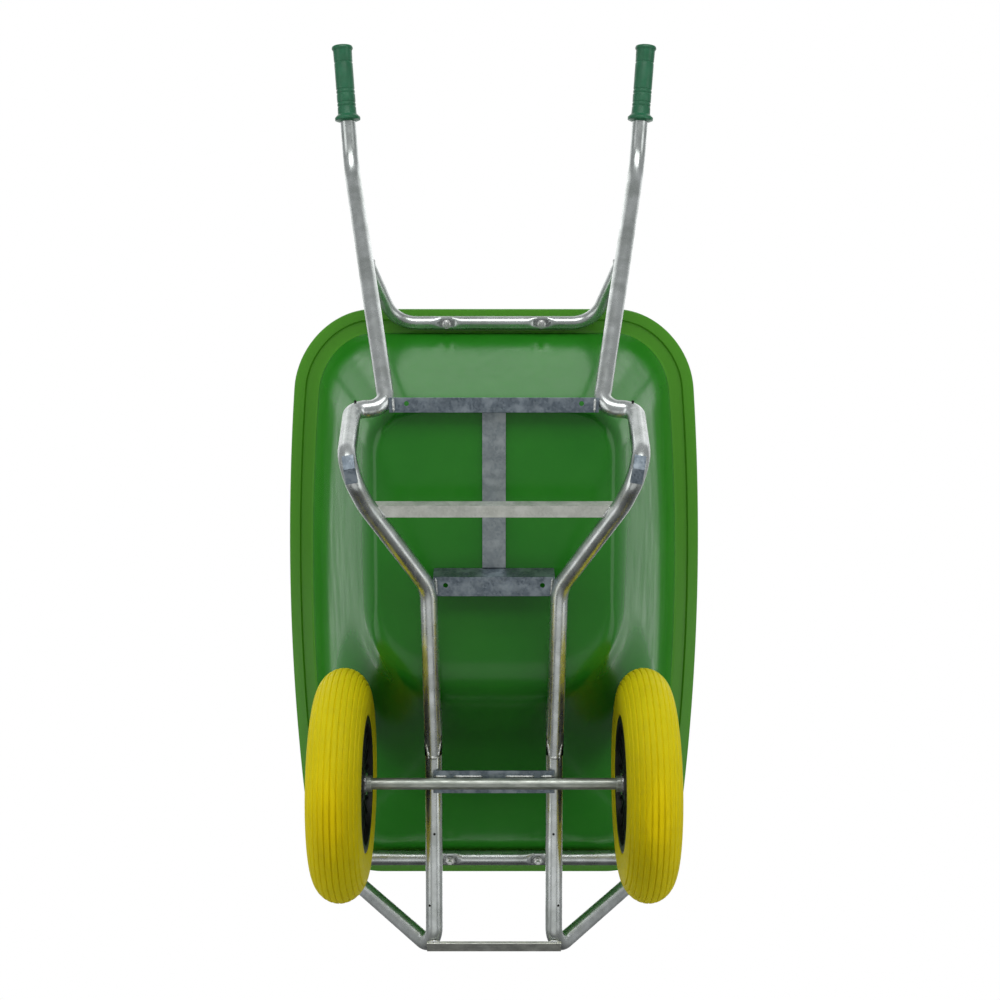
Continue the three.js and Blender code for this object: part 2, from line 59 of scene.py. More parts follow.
GAP = 0.3
TUBE, RIM_TUBE, WALL = 15, 12.5, 1.5
TRAY_WALL, WALL_INWARD = 5, 3  # the shell's thickness, and how far its inner wall stands in
FLOOR = {"rear": 95, "front": -400, "half": 213, "rear_r": 90, "front_r": 120, "bow": 0}
MOUTH = {"rear": 229, "front": -836, "half": 363, "rear_r": 110, "front_r": 110, "bow": 34}
FRONT_SWELL = 155  # extra front corner radius halfway up the walls
FLOOR_Z, FLOOR_RISE = 200, tan(radians(1.2))
RIM_REAR, RIM_FRONT = (270, 511), (-877, 626)  # y and z of the rim plane at its ends
FILLET = 0.12  # the floor's curve, as a part of the wall's run on each side
LIP_WIDTH, LIP_BAND, LIP_STEP = 41, 20, 4

WHEEL_X, WHEEL_RADIUS = 262.5, 200
TYRE_HALF_WIDTH, TYRE_HALF_HEIGHT = 45.5, 50
SEAT_RADIUS, SEAT_HALF, BARREL_HALF, HUB_RADIUS, HUB_HALF = 118, 43, 42, 27, 38
BARREL_INNER, WEB_FOOT, WEB_HALF = SEAT_RADIUS - 14, HUB_RADIUS - 3, 3
RIBS, RIB_HALF, RIB_TOP, RIB_DIP = 24, 2, 36, 33
GROOVE_PITCH, GROOVE_DEPTH, GROOVES_TO = radians(13), 2.4, radians(67)  # across the tread

HANDLE = [  # x, y, z and bend radius of the corners of the grip, handle, leg and rail tube
    (292, 767, 570, 0),
    (276.5, 544, 570, 110),
    (179, 86, 177, 28),
    (238, 86, 177, 26),
    (231, 2, -2, 42),
    (205, -64, 49, 150),
    (110.5, -213, 153, 75),
    (105.7, -540, 232, 0),
]
PLATE = 3.5  # thickness of the plate over the axle
FRONT_Z = AXLE_Z + AXLE_RADIUS + PLATE + 2 * GAP + TUBE
FRONT_TUBE_X, FRONT_START_Y, NOSE_Y, NOSE_BEND = 106, -440, -876, 40
LOOP_X, LOOP_Y, LOOP_BEND = 340, -842, 50
HOOP_X, HOOP_Y, HOOP_BEND, HOOP_ON_HANDLE = 189, 243.5, 58, 0.6
NOSE_BAR_TURN, NOSE_BAR_EDGE = radians(31), 12  # round the bend to its middle, then to its edge
RAIL_TIP_Y = -522  # where the rail's cut end meets the front tube
BOLT_X, BOLT_RADIUS = 90, 4
WASHER_BORE, WASHER_RADIUS, WASHER_THICKNESS = 4.3, 8.5, 1.6
NUT_RADIUS, NUT_HEIGHT = 7.5, 6.5
DIMPLE = 0.42  # depth of the flat under a tray bolt, as a part of the tube's radius
GRIP_LENGTH, GRIP_CAP = 143, 8.3  # the cap is the part beyond the tube's end

CAMERA_AT, CAMERA_TILT = (0, 131.3, -2096.1), radians(5)
SENSOR, LENS, LENS_SHIFT = 36, 48.6, 0.006


# ---------- Vectors and paths ----------


def unit(v):
    return v / np.linalg.norm(v)


def to_row(points):
    """Millimetres measured from the feet, as metres in the row frame."""
    return np.asarray(points, float) / 1000 + (0, FEET_Y, 0)


def mirror(corners):
    return [(-corner[0], *corner[1:]) for corner in corners]


def bent_path(corners, step=radians(5)):
    """Straight runs between corner points, joined by arcs of each corner's bend radius."""
    points = []
    for i, corner in enumerate(corners):
        here, bend = np.array(corner[:3], float), corner[3]
        if not bend:
            points.append(here)
            continue
        into = unit(here - np.array(corners[i - 1][:3], float))
        out = unit(np.array(corners[i + 1][:3], float) - here)
        turn = acos(into @ out)
        centre = here + unit(out - into) * bend / cos(turn / 2)
        spoke = here - into * bend * tan(turn / 2) - centre
        for t in np.linspace(0, turn, max(3, int(turn / step) + 2)):
            points.append(centre + spoke * cos(t) + into * bend * sin(t))
    return np.array(points)


def dense(points, longest):
    """The same path with stations no further apart than the longest step."""
    out = [points[0]]
    for a, b in zip(points[:-1], points[1:]):
        count = max(1, int(np.ceil(np.linalg.norm(b - a) / longest)))
        out += [a + (b - a) * k / count for k in range(1, count + 1)]
    return np.array(out)


def frames_along(points):
    """Two directions square to the path at each station, carried along without twist."""
    tangents = [unit(t) for t in np.gradient(points, axis=0)]
    start = (0, 0, 1) if abs(tangents[0][2]) < 0.9 else (0, 1, 0)
    u = unit(np.cross(tangents[0], start))
    pairs = []
    for t in tangents:
        u = unit(u - t * (u @ t))
        pairs.append((u, np.cross(t, u)))
    return pairs


def tube_rings(points, radius, sides=32):
    """Circles along a path. The radius is one number or one for each station."""
    radii = np.broadcast_to(radius, len(points))
    angles = np.linspace(0, 2 * pi, sides, endpoint=False)
    return [
        p + r * (np.outer(np.cos(angles), u) + np.outer(np.sin(angles), v))
        for p, r, (u, v) in zip(points, radii, frames_along(points))
    ]


# ---------- Meshes ----------


def loft(rings, around=False, caps=False):
    """Quads between equal rings. around joins the last ring to the first."""
    rings = np.asarray(rings, float)
    count, size, _ = rings.shape
    faces = []
    for i in range(count if around else count - 1):
        low, high = i * size, (i + 1) % count * size
        for j in range(size):
            k = (j + 1) % size
            faces.append((low + j, low + k, high + k, high + j))
    if caps:
        faces.append(tuple(range(size))[::-1])
        faces.append(tuple(range((count - 1) * size, count * size)))
    return rings.reshape(-1, 3), faces


def pipe(points, radius, wall=WALL, sides=32):
    """A hollow tube with open ends."""
    outer = tube_rings(points, radius, sides)
    inner = tube_rings(points, radius - wall, sides)
    return loft(outer + inner[::-1], around=True)


def lathe(profile, sides=64, around=False):
    """A profile of (radius, distance along the axis) turned about X."""
    angles = np.linspace(0, 2 * pi, sides, endpoint=False)
    rings = [
        np.stack([np.full(sides, x), r * np.cos(angles), r * np.sin(angles)], axis=1)
        for r, x in profile
    ]
    return loft(rings, around=around)


def rounded(corners, step=radians(15)):
    """A flat profile of (a, b, rounding radius) corners, as (a, b) points."""
    return [(p[0], p[1]) for p in bent_path([(a, b, 0, r) for a, b, r in corners], step)]


def moved(part, offset=(0, 0, 0), turn=None):
    verts, faces = part
    if turn is not None:
        verts = verts @ np.array(turn).T
    return verts + np.asarray(offset, float), faces


def flipped(part):
    """The mirror image across the centre plane."""
    verts, faces = part
    return verts * (-1, 1, 1), [face[::-1] for face in faces]


def joined(parts):
    verts, faces, count = [], [], 0
    for v, f in parts:
        verts.append(v)
        faces += [tuple(i + count for i in face) for face in f]
        count += len(v)
    return np.concatenate(verts), faces


def piece(name, parts, material, body="frame", replaces=(), sharp=40):
    """Makes one visible piece from parts in millimetres and fixes it to a CAD body."""
    verts, faces = joined(parts)
    mesh = bpy.data.meshes.new(name)
    mesh.from_pydata(to_row(verts).tolist(), [], faces)
    mesh.validate()
    mesh.shade_smooth()
    mesh.set_sharp_from_angle(angle=radians(sharp))
    mesh.materials.append(material)
    obj = bpy.data.objects.new(name, mesh)
    bpy.context.scene.collection.objects.link(obj)
    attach(obj, body)
    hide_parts(*replaces)
    return obj


# ---------- Materials ----------


class Surface:
    """A material with one Principled shader and procedural textures in object space."""

    def __init__(self, name, **sockets):
        self.material = bpy.data.materials.new(name)
        self.material.use_nodes = True
        self.tree = self.material.node_tree
        self.shader = self.tree.nodes["Principled BSDF"]
        for key, value in sockets.items():
            self.shader.inputs[key.replace("_", " ")].default_value = value
        self.where = self.tree.nodes.new("ShaderNodeTexCoord").outputs["Object"]

    def put(self, value, socket):
        if isinstance(value, bpy.types.NodeSocket):
            self.tree.links.new(value, socket)
        else:
            socket.default_value = value

    def stretched(self, scale):
        node = self.tree.nodes.new("ShaderNodeMapping")
        node.inputs["Scale"].default_value = scale
        self.put(self.where, node.inputs["Vector"])
        return node.outputs["Vector"]

    def noise(self, scale, detail=4.0, vector=None):
        node = self.tree.nodes.new("ShaderNodeTexNoise")
        node.inputs["Scale"].default_value = scale
        node.inputs["Detail"].default_value = detail
        self.put(vector or self.where, node.inputs["Vector"])
        return node.outputs["Fac"]

    def cells(self, scale, output="Color"):
        node = self.tree.nodes.new("ShaderNodeTexVoronoi")
        node.inputs["Scale"].default_value = scale
        self.put(self.where, node.inputs["Vector"])
        return node.outputs[output]

    def band(self, value, low, high, to_low=0.0, to_high=1.0):
        """Maps a value from low..high to to_low..to_high, held at the ends."""
        node = self.tree.nodes.new("ShaderNodeMapRange")
        node.inputs["From Min"].default_value = low
        node.inputs["From Max"].default_value = high
        node.inputs["To Min"].default_value = to_low
        node.inputs["To Max"].default_value = to_high
        self.put(value, node.inputs["Value"])
        return node.outputs["Result"]

    def mix(self, factor, a, b):
        node = self.tree.nodes.new("ShaderNodeMix")
        node.data_type = "RGBA"
        first, second = [socket for socket in node.inputs if socket.type == "RGBA"]
        self.put(factor, node.inputs["Factor"])
        self.put(a, first)
        self.put(b, second)
        return next(socket for socket in node.outputs if socket.type == "RGBA")

    def attribute(self, name):
        node = self.tree.nodes.new("ShaderNodeAttribute")
        node.attribute_name = name
        return node.outputs["Fac"]

    def bump(self, height, strength, distance):
        node = self.tree.nodes.new("ShaderNodeBump")
        node.inputs["Strength"].default_value = strength
        node.inputs["Distance"].default_value = distance
        self.put(height, node.inputs["Height"])
        if self.shader.inputs["Normal"].is_linked:
            self.put(self.shader.inputs["Normal"].links[0].from_socket, node.inputs["Normal"])
        self.put(node.outputs["Normal"], self.shader.inputs["Normal"])

    def finish(self, colour, roughness):
        self.put(colour, self.shader.inputs["Base Color"])
        self.put(roughness, self.shader.inputs["Roughness"])
        return self.material


def tray_plastic():
    s = Surface("tray_plastic", Specular_IOR_Level=0.42)
    body = s.mix(s.band(s.noise(5), 0.3, 0.7), (0.015, 0.178, 0.010, 1), (0.024, 0.210, 0.015, 1))
    # The lip gets a lighter green than the rest of the same plastic: painted light on the lip.
    colour = s.mix(s.attribute("lip"), body, (0.07, 0.275, 0.014, 1))
    scuffs = s.noise(60, 8, s.stretched((1, 0.15, 1)))
    s.bump(s.noise(420, 3), 0.06, 0.0005)
    s.bump(s.noise(9, 2), 0.06, 0.003)
    return s.finish(colour, s.band(scuffs, 0.35, 0.7, 0.15, 0.26))


def grip_plastic():
    s = Surface("grip_plastic", Specular_IOR_Level=0.5)
    shades = (0.010, 0.105, 0.045, 1), (0.016, 0.130, 0.060, 1)
    colour = s.mix(s.band(s.noise(40), 0.35, 0.65), *shades)
    s.bump(s.noise(900, 2), 0.25, 0.0004)
    return s.finish(colour, s.band(s.noise(90, 6), 0.35, 0.7, 0.30, 0.48))


def galvanised_tube():
    s = Surface("galvanised_tube", Metallic=0.95)
    clouds = s.mix(s.band(s.noise(30, 7), 0.35, 0.65), (0.47, 0.50, 0.48, 1), (0.66, 0.69, 0.68, 1))
    pits = s.band(s.noise(420, 3), 0.70, 0.76)
    colour = s.mix(pits, clouds, (0.20, 0.21, 0.20, 1))
    s.bump(s.noise(40, 2), 0.015, 0.0006)
    return s.finish(colour, s.band(s.noise(45, 3), 0.35, 0.7, 0.23, 0.34))


def galvanised_bar(name, dull, clean):
    """Flat bar: thicker, mottled zinc with a grain of small crystals. The copies differ only in the
    dull and clean tones, which paint light and shade for where each bar sits.
    """
    s = Surface(name, Metallic=0.9)
    grain = s.mix(s.band(s.cells(260), 0.0, 1.0, 0.0, 0.6), dull, clean)
    colour = s.mix(s.band(s.noise(40, 10), 0.50, 0.64, 0.0, 0.8), grain, clean)
    s.bump(s.noise(120, 8), 0.16, 0.0008)
    return s.finish(colour, s.band(s.noise(60, 6), 0.3, 0.7, 0.34, 0.56))


def weld_metal():
    s = Surface("weld_metal", Metallic=0.9)
    colour = s.mix(s.band(s.noise(220), 0.35, 0.65), (0.48, 0.50, 0.49, 1), (0.80, 0.82, 0.80, 1))
    s.bump(s.noise(500, 5), 0.4, 0.0008)
    return s.finish(colour, s.band(s.noise(150), 0.3, 0.7, 0.25, 0.5))


def axle_steel():
    s = Surface("axle_steel", Metallic=0.9)
    dull = s.band(s.noise(30, 6, s.stretched((1, 4, 4))), 0.35, 0.65)
    colour = s.mix(dull, (0.34, 0.37, 0.33, 1), (0.54, 0.57, 0.52, 1))
    s.bump(s.noise(260, 6), 0.12, 0.0006)
    return s.finish(colour, s.band(s.noise(80, 6), 0.35, 0.7, 0.35, 0.55))


def zinc_fastener():
    s = Surface("zinc_fastener", Metallic=1.0)
    colour = s.mix(s.band(s.noise(300), 0.35, 0.65), (0.60, 0.61, 0.58, 1), (0.78, 0.79, 0.78, 1))
    s.bump(s.noise(700, 4), 0.15, 0.0004)
    return s.finish(colour, s.band(s.noise(200), 0.35, 0.7, 0.22, 0.38))


def tyre_foam():
    s = Surface("tyre_foam", Specular_IOR_Level=0.25)
    clean = s.mix(s.band(s.noise(9), 0.3, 0.7), (0.78, 0.66, 0.000, 1), (0.86, 0.74, 0.002, 1))
    dust = s.band(s.noise(46, 8), 0.55, 0.75, 0.0, 0.12)
    colour = s.mix(dust, clean, (0.42, 0.35, 0.03, 1))
    s.bump(s.cells(1100, "Distance"), 0.15, 0.0004)
    return s.finish(colour, s.band(s.noise(120), 0.3, 0.7, 0.55, 0.78))


def rim_plastic():
    s = Surface("rim_plastic", Specular_IOR_Level=0.4)
    colour = s.mix(s.band(s.noise(60), 0.35, 0.65), (0.006, 0.007, 0.006, 1), (0.014, 0.016, 0.014, 1))
    s.bump(s.noise(600, 3), 0.25, 0.0005)
    return s.finish(colour, s.band(s.noise(120), 0.35, 0.7, 0.38, 0.55))


def hole_shadow():
    s = Surface("hole_shadow", Specular_IOR_Level=0.1)
    return s.finish(s.mix(s.noise(400), (0.004, 0.004, 0.004, 1), (0.02, 0.02, 0.018, 1)), 0.9)


TRAY_PLASTIC, GRIP_PLASTIC = tray_plastic(), grip_plastic()
TUBE_STEEL, WELD_METAL, HOLE_SHADOW = galvanised_tube(), weld_metal(), hole_shadow()
# One galvanised bar finish in three copies: a darker one as painted shade, a middle one, and a lighter
# one as painted light.
BAR_PAINTED_SHADE = galvanised_bar("galvanised_bar", (0.11, 0.14, 0.17, 1), (0.34, 0.39, 0.43, 1))
BAR_PAINTED_HALF_SHADE = galvanised_bar("bar_painted_half_shade", (0.26, 0.30, 0.32, 1), (0.46, 0.50, 0.51, 1))
BAR_PAINTED_LIGHT = galvanised_bar("bar_painted_light", (0.60, 0.62, 0.56, 1), (0.80, 0.81, 0.75, 1))
AXLE_STEEL, ZINC = axle_steel(), zinc_fastener()
TYRE_FOAM, RIM_PLASTIC = tyre_foam(), rim_plastic()


# ---------- Tray ----------

RIM_SLOPE = (RIM_FRONT[1] - RIM_REAR[1]) / (RIM_REAR[0] - RIM_FRONT[0])
RIM_TILT = -atan(RIM_SLOPE)


def rim_z(y):
    return RIM_REAR[1] + (RIM_REAR[0] - y) * RIM_SLOPE


def floor_z(y):
    return FLOOR_Z + (FLOOR["rear"] - y) * FLOOR_RISE


def tray_outline(a, out):
    """The tray's outline at share a of the way from floor to mouth, grown outwards."""
    base = {key: FLOOR[key] + (MOUTH[key] - FLOOR[key]) * a for key in FLOOR}
    swell = FRONT_SWELL * 4 * max(0, a * (1 - a))
    rear, front, half = base["rear"] + out, base["front"] - out, base["half"] + out
    rear_r, front_r = base["rear_r"] + out, base["front_r"] + swell + out
    t = np.linspace(0, pi / 2, 22)
    rear_corner = [(half - rear_r + rear_r * sin(k), rear - rear_r + rear_r * cos(k)) for k in t]
    front_corner = [(half - front_r + front_r * cos(k), front + front_r - front_r * sin(k)) for k in t]
    side = [(half, y) for y in np.linspace(rear - rear_r, front + front_r, 26)[1:-1]]
    corners = np.array(rear_corner + side + front_corner)
    middle, reach = (rear + front) / 2, (rear - front) / 2
    along = (corners[:, 1] - middle) / reach
    corners[:, 0] -= base["bow"] * along**2 * corners[:, 0] / half
    ends = np.linspace(0, 1, 10, endpoint=False)
    rear_edge = [(corners[0, 0] * k, rear) for k in ends]
    front_edge = [(corners[-1, 0] * k, front) for k in ends[:0:-1]]
    right = np.array([*rear_edge, *corners, *front_edge, (0, front)])
    left = right[-2:0:-1] * (-1, 1)
    return np.concatenate([right, left])


def tray_ring(a, h, out, lift):
    """One ring of the shell. h lifts it from the floor plane to the rim plane."""
    flat = tray_outline(a, out)
    z = [floor_z(y) + (rim_z(y) - floor_z(y)) * h + lift for y in flat[:, 1]]
    return np.column_stack([flat, z])


def tray_wall():
    """(a, h) from the edge of the flat floor, round the fillet and up to the mouth."""
    fillet = [(-FILLET * (1 - t) ** 2 + FILLET * t**2, FILLET * t**2) for t in np.linspace(0, 1, 14)]
    wall = [(a, a) for a in np.linspace(FILLET, 1, 30)[1:-1]]
    return fillet + wall


def tray_lip():
    """(out, lift) round the stepped lip, from the outer wall to the inner wall."""
    edge, inner = LIP_WIDTH, LIP_WIDTH - LIP_BAND
    low = -LIP_STEP - TRAY_WALL
    return rounded([
        (-4, -TRAY_WALL - 1, 0),
        (0, -TRAY_WALL, 3),
        (inner - 2, -TRAY_WALL, 1.5),
        (inner, low, 1.5),
        (edge, low, 2.4),
        (edge, -LIP_STEP, 2.4),
        (inner + 3, -LIP_STEP, 2),
        (inner + 1, 0, 2),
        (-1, 0, 3),
        (-7, -2, 0),
    ])


def floor_patch(ring, share, lift):
    """A ring of the flat floor: an outline shrunk towards the floor's middle."""
    centre = np.array([0, (FLOOR["rear"] + FLOOR["front"]) / 2, 0])
    flat = centre + (ring - centre) * share
    flat[:, 2] = floor_z(flat[:, 1]) + lift
    return flat


def tray():
    """The shell in one skin: floor, outer wall, lip, inner wall and floor again."""
    wall = tray_wall()
    rings = [tray_ring(a, h, 0, 0) for a, h in wall]
    rings += [tray_ring(1, 1, out, lift) for out, lift in tray_lip()]
    rings += [tray_ring(a, h, -WALL_INWARD, TRAY_WALL) for a, h in wall[::-1]]
    shares = [0.85, 0.6, 0.3, 0.02]
    below = [floor_patch(rings[0], share, 0) for share in shares[::-1]]
    above = [floor_patch(rings[-1], share, TRAY_WALL) for share in shares]
    verts, faces = loft(below + rings + above, caps=True)
    faces = [face[::-1] for face in faces]
    obj = piece("tray_shell", [(verts, faces)], TRAY_PLASTIC, replaces=["tray"])
    mark_lip_painted_light(obj.data, (len(below) + len(wall)) * len(rings[0]), len(tray_lip()) * len(rings[0]))


def mark_lip_painted_light(mesh, first, count):
    """Marks the lip's vertices for tray_plastic(), which gives them a lighter green: painted light on
    the lip.
    """
    lip = np.zeros(len(mesh.vertices), np.float32)
    lip[first:first + count] = 1
    mesh.attributes.new("lip", "FLOAT", "POINT").data.foreach_set("value", lip)


# ---------- Frame tubes ----------


def under_lip(y, depth, radius):
    return rim_z(y) - (depth + GAP + radius) / cos(RIM_TILT)


def loop_corners(half):
    return half + mirror(half)[::-1]


def dimpled(part, y, z, radius):
    """Presses the tube's lower side flat where each tray bolt passes through it."""
    verts, faces = part
    up = np.array([0, -sin(RIM_TILT), cos(RIM_TILT)])
    height = (verts - (0, y, z)) @ up
    along = np.abs(np.abs(verts[:, 0]) - BOLT_X)
    near = (along < 40) & (height > -1.5 * radius)
    half_length, softness = 17, 2.2
    depth = DIMPLE * radius / (1 + np.exp((along - half_length) / softness))
    floor = np.where(near, -radius + depth, -1e9)
    lift = np.maximum(0, floor - height)
    return verts + lift[:, None] * up, faces


def handle_tube(side):
    """Grip, handle, leg and rail. The rail's end is cut flat under the front tube.

    The path ends where less than a millimetre of the rail is left under that tube.
    """
    corners = HANDLE if side > 0 else mirror(HANDLE)
    points = dense(bent_path(corners), 8)
    under = FRONT_Z - TUBE - GAP
    points = points[(points[:, 2] < under + TUBE - 1) | (points[:, 1] > FRONT_START_Y)]
    verts, faces = pipe(points, TUBE)
    under_front = verts[:, 1] < FRONT_START_Y
    verts[under_front, 2] = np.minimum(verts[under_front, 2], under)
    return verts, faces


def front_loop():
    z = under_lip(LOOP_Y, TRAY_WALL, TUBE)
    half = [
        (FRONT_TUBE_X, FRONT_START_Y, FRONT_Z, 0),
        (FRONT_TUBE_X, NOSE_Y, FRONT_Z, NOSE_BEND),
        (LOOP_X, LOOP_Y, z, LOOP_BEND),
    ]
    part = pipe(dense(bent_path(loop_corners(half)), 5), TUBE)
    return dimpled(part, LOOP_Y, z, TUBE)


def hoop_arm():
    """Where the hoop's arm starts on the left handle, and its first corner."""
    low, high = np.array(HANDLE[2][:3], float), np.array(HANDLE[1][:3], float)
    joint = low + (high - low) * HOOP_ON_HANDLE
    corner = np.array([HOOP_X, HOOP_Y, under_lip(HOOP_Y, TRAY_WALL + LIP_STEP, RIM_TUBE)])
    return joint + unit(corner - joint) * (TUBE - 3), corner


def rear_hoop():
    end, corner = hoop_arm()
    half = [(*end, 0), (*corner, HOOP_BEND)]
    part = pipe(dense(bent_path(loop_corners(half)), 5), RIM_TUBE)
    return dimpled(part, HOOP_Y, corner[2], RIM_TUBE)


def vent_hole(place, facing):
    """A drain hole for the zinc: a dark disc just proud of the tube."""
    turn = Vector((1, 0, 0)).rotation_difference(Vector(facing)).to_matrix()
    return moved(lathe([(0.01, 0.2), (2.2, 0.2), (2.4, -1.5)], 16), place, turn)


def vent_holes():
    """At the leg shoulders, on the hoop's bends and along the front tubes."""
    shoulder, hoop = np.array(HANDLE[3][:3], float), hoop_arm()[1]
    spots = [
        (shoulder + (-9, 6, 0), (0.2, 0.45, -0.87), TUBE),
        (hoop + (0, 9, 0), (0.5, -0.3, -0.8), RIM_TUBE),
        (np.array([FRONT_TUBE_X, -660, FRONT_Z]), (-0.1, 0, -1), TUBE),
        (np.array([FRONT_TUBE_X, -790, FRONT_Z]), (0.5, 0, -0.86), TUBE),
    ]
    half = []
    for centre, facing, radius in spots:
        outward = unit(np.array(facing))
        half.append(vent_hole(centre + outward * radius, outward))
    piece("vent_holes", half + [flipped(part) for part in half], HOLE_SHADOW)


def frame_tubes():
    for name, side in SIDES:
        node = f"{name}_handle_leg_tube"
        piece(f"{name}_handle_tube", [handle_tube(side)], TUBE_STEEL, replaces=[node])
    piece("front_loop", [front_loop()], TUBE_STEEL, replaces=["front_loop_tube"])
    piece("rear_hoop", [rear_hoop()], TUBE_STEEL, replaces=["rear_rim_tube"])


# ---------- CAD pieces that keep their shape ----------


def dressed(node, material, bevel=0.0007):
    """Gives a CAD node its material and slightly rounded edges."""
    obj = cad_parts[node]
    obj.data.materials.clear()
    obj.data.materials.append(material)
    weld = obj.modifiers.new("weld", "WELD")
    weld.merge_threshold = 0.00002
    edges = obj.modifiers.new("edges", "BEVEL")
    edges.width = bevel
    edges.segments = 2
    edges.limit_method = "ANGLE"
    edges.angle_limit = radians(40)


def dress_cad():
    # The crossbars and foot pads take the darker copy as painted shade, the centre bar takes the middle
    # copy, and the nose bar and leg brace take the lighter copy as painted light.
    for node in ("rear_crossbar", "front_crossbar", "axle_crossbar"):
        dressed(node, BAR_PAINTED_SHADE)
    dressed("centre_bar", BAR_PAINTED_HALF_SHADE)
    dressed("nose_bar", BAR_PAINTED_LIGHT)
    dressed("leg_brace", BAR_PAINTED_LIGHT)
    dressed("axle", AXLE_STEEL)
    for name, _ in SIDES:
        dressed(f"{name}_foot_pad", BAR_PAINTED_SHADE)
        dressed(f"{name}_axle_collar", AXLE_STEEL)
        dressed(f"{name}_split_pin", ZINC, 0.0003)
        for face in ("inner", "outer"):
            dressed(f"{name}_{face}_washer", ZINC, 0.0004)
            dressed(f"{name}_{face}_bearing", AXLE_STEEL, 0.0004)


# ---------- Wheels ----------


def tyre_profile():
    """(radius, x) round the tyre's section, with grooves running round the tread."""
    middle = WHEEL_RADIUS - TYRE_HALF_HEIGHT
    tread = []
    for angle in np.linspace(0, pi, 225):
        ribbed = abs(angle - pi / 2) < GROOVES_TO
        groove = max(0, cos((angle - pi / 2) * 2 * pi / GROOVE_PITCH)) ** 5 if ribbed else 0
        reach = 1 - GROOVE_DEPTH / TYRE_HALF_HEIGHT * groove
        radius = middle + TYRE_HALF_HEIGHT * reach * sin(angle)
        tread.append((radius, -TYRE_HALF_WIDTH * reach * cos(angle)))
    bead = [(SEAT_RADIUS, 0, 0), (SEAT_RADIUS, SEAT_HALF, 3), (middle - 2, TYRE_HALF_WIDTH, 0)]
    right = rounded(bead)
    left = [(radius, -x) for radius, x in right[::-1]]
    return left[:-1] + tread + right[::-1]


def rib(angle, face):
    """A radial rib on one face of the rim, from the web out, a little lower at mid length."""
    root, end = WEB_HALF - 1, BARREL_INNER + 2
    outline = [(WEB_FOOT, root), (WEB_FOOT, RIB_TOP), (50, RIB_DIP), (end, RIB_TOP), (end, root)]
    rings = [[(face * x, side * RIB_HALF, r) for r, x in outline] for side in (-1, 1)]
    part = loft(rings, caps=True)
    if face > 0:
        part = (part[0], [f[::-1] for f in part[1]])
    return moved(part, turn=Matrix.Rotation(angle, 3, "X"))


def barrel_profile():
    inner, outer, ends = BARREL_INNER, SEAT_RADIUS - GAP, BARREL_HALF - 1
    return rounded([
        (inner, -ends, 0),
        (inner, -BARREL_HALF, 0.9),
        (outer, -BARREL_HALF, 2),
        (outer, BARREL_HALF, 2),
        (inner, BARREL_HALF, 0.9),
        (inner, ends, 0),
    ])


def hub_profile():
    bore = AXLE_RADIUS + 8
    return rounded([
        (bore, 0, 0),
        (bore, -HUB_HALF, 1),
        (HUB_RADIUS, -HUB_HALF, 3),
        (HUB_RADIUS + 2, 0, 0),
        (HUB_RADIUS, HUB_HALF, 3),
        (bore, HUB_HALF, 0),
    ])


def rim_parts():
    end = BARREL_INNER + 2
    web = [(WEB_FOOT, -WEB_HALF), (end, -WEB_HALF), (end, WEB_HALF), (WEB_FOOT, WEB_HALF)]
    parts = [lathe(barrel_profile(), 96, True), lathe(hub_profile(), 48, True), lathe(web, 96, True)]
    parts += [rib(k * 2 * pi / RIBS, face) for k in range(RIBS) for face in (-1, 1)]
    return parts


def wheels():
    tyre, rim = [lathe(tyre_profile(), 180, True)], rim_parts()
    for name, side in SIDES:
        centre = (side * WHEEL_X, AXLE_Y, AXLE_Z)
        body = BODY_OF[name]
        placed = [moved(part, centre) for part in tyre]
        piece(f"{name}_tyre_tread", placed, TYRE_FOAM, body, [f"{name}_tyre"], sharp=60)
        placed = [moved(part, centre) for part in rim]
        piece(f"{name}_rim_ribbed", placed, RIM_PLASTIC, body, [f"{name}_rim"])


# ---------- Grips ----------


def grip_part():
    """A grip along X, closed at x = 0 and open at the collar, with five shallow rings."""
    bore, length = TUBE + GAP, GRIP_LENGTH
    profile = [(0.01, 0, 0), (19.5, 0, 3), (20.5, 5, 2), (18.2, 9, 3)]
    for share in (0.22, 0.58, 0.63, 0.75, 0.80):
        x = share * length
        ring = ((17.8, -2), (17.0, -0.8), (17.0, 0.8), (17.8, 2))
        profile += [(radius, x + along, 0.5) for radius, along in ring]
    profile += [
        (18.2, length - 14, 3),
        (24.5, length - 8, 2),
        (24.5, length - 3, 1.5),
        (bore + 1, length, 1),
        (bore, length - 1, 0),
    ]
    return lathe(rounded(profile, radians(20)), 48)


def grips():
    for name, side in SIDES:
        corners = HANDLE if side > 0 else mirror(HANDLE)
        end, bend = np.array(corners[0][:3], float), np.array(corners[1][:3], float)
        inward = unit(bend - end)
        turn = Vector((1, 0, 0)).rotation_difference(Vector(inward)).to_matrix()
        part = moved(grip_part(), end - inward * GRIP_CAP, turn)
        piece(f"{name}_grip_sleeve", [part], GRIP_PLASTIC, replaces=[f"{name}_grip"])


# ---------- Tray fasteners ----------


def hexagon(radius, z):
    return [(radius * cos(k * pi / 3), radius * sin(k * pi / 3), z) for k in range(6)]


def nut_part(z):
    """A nut with chamfered corners, standing on height z."""
    edge, chamfer, top = NUT_RADIUS - 1.1, 0.8, z + NUT_HEIGHT
    levels = ((edge, z), (NUT_RADIUS, z + chamfer), (NUT_RADIUS, top - chamfer), (edge, top))
    return loft([hexagon(radius, level) for radius, level in levels], caps=True)


def upright(profile, sides=32):
    """A profile of (radius, z) turned about Z."""
    part = lathe(profile, sides)
    return moved(part, turn=Matrix.Rotation(-pi / 2, 3, "Y"))


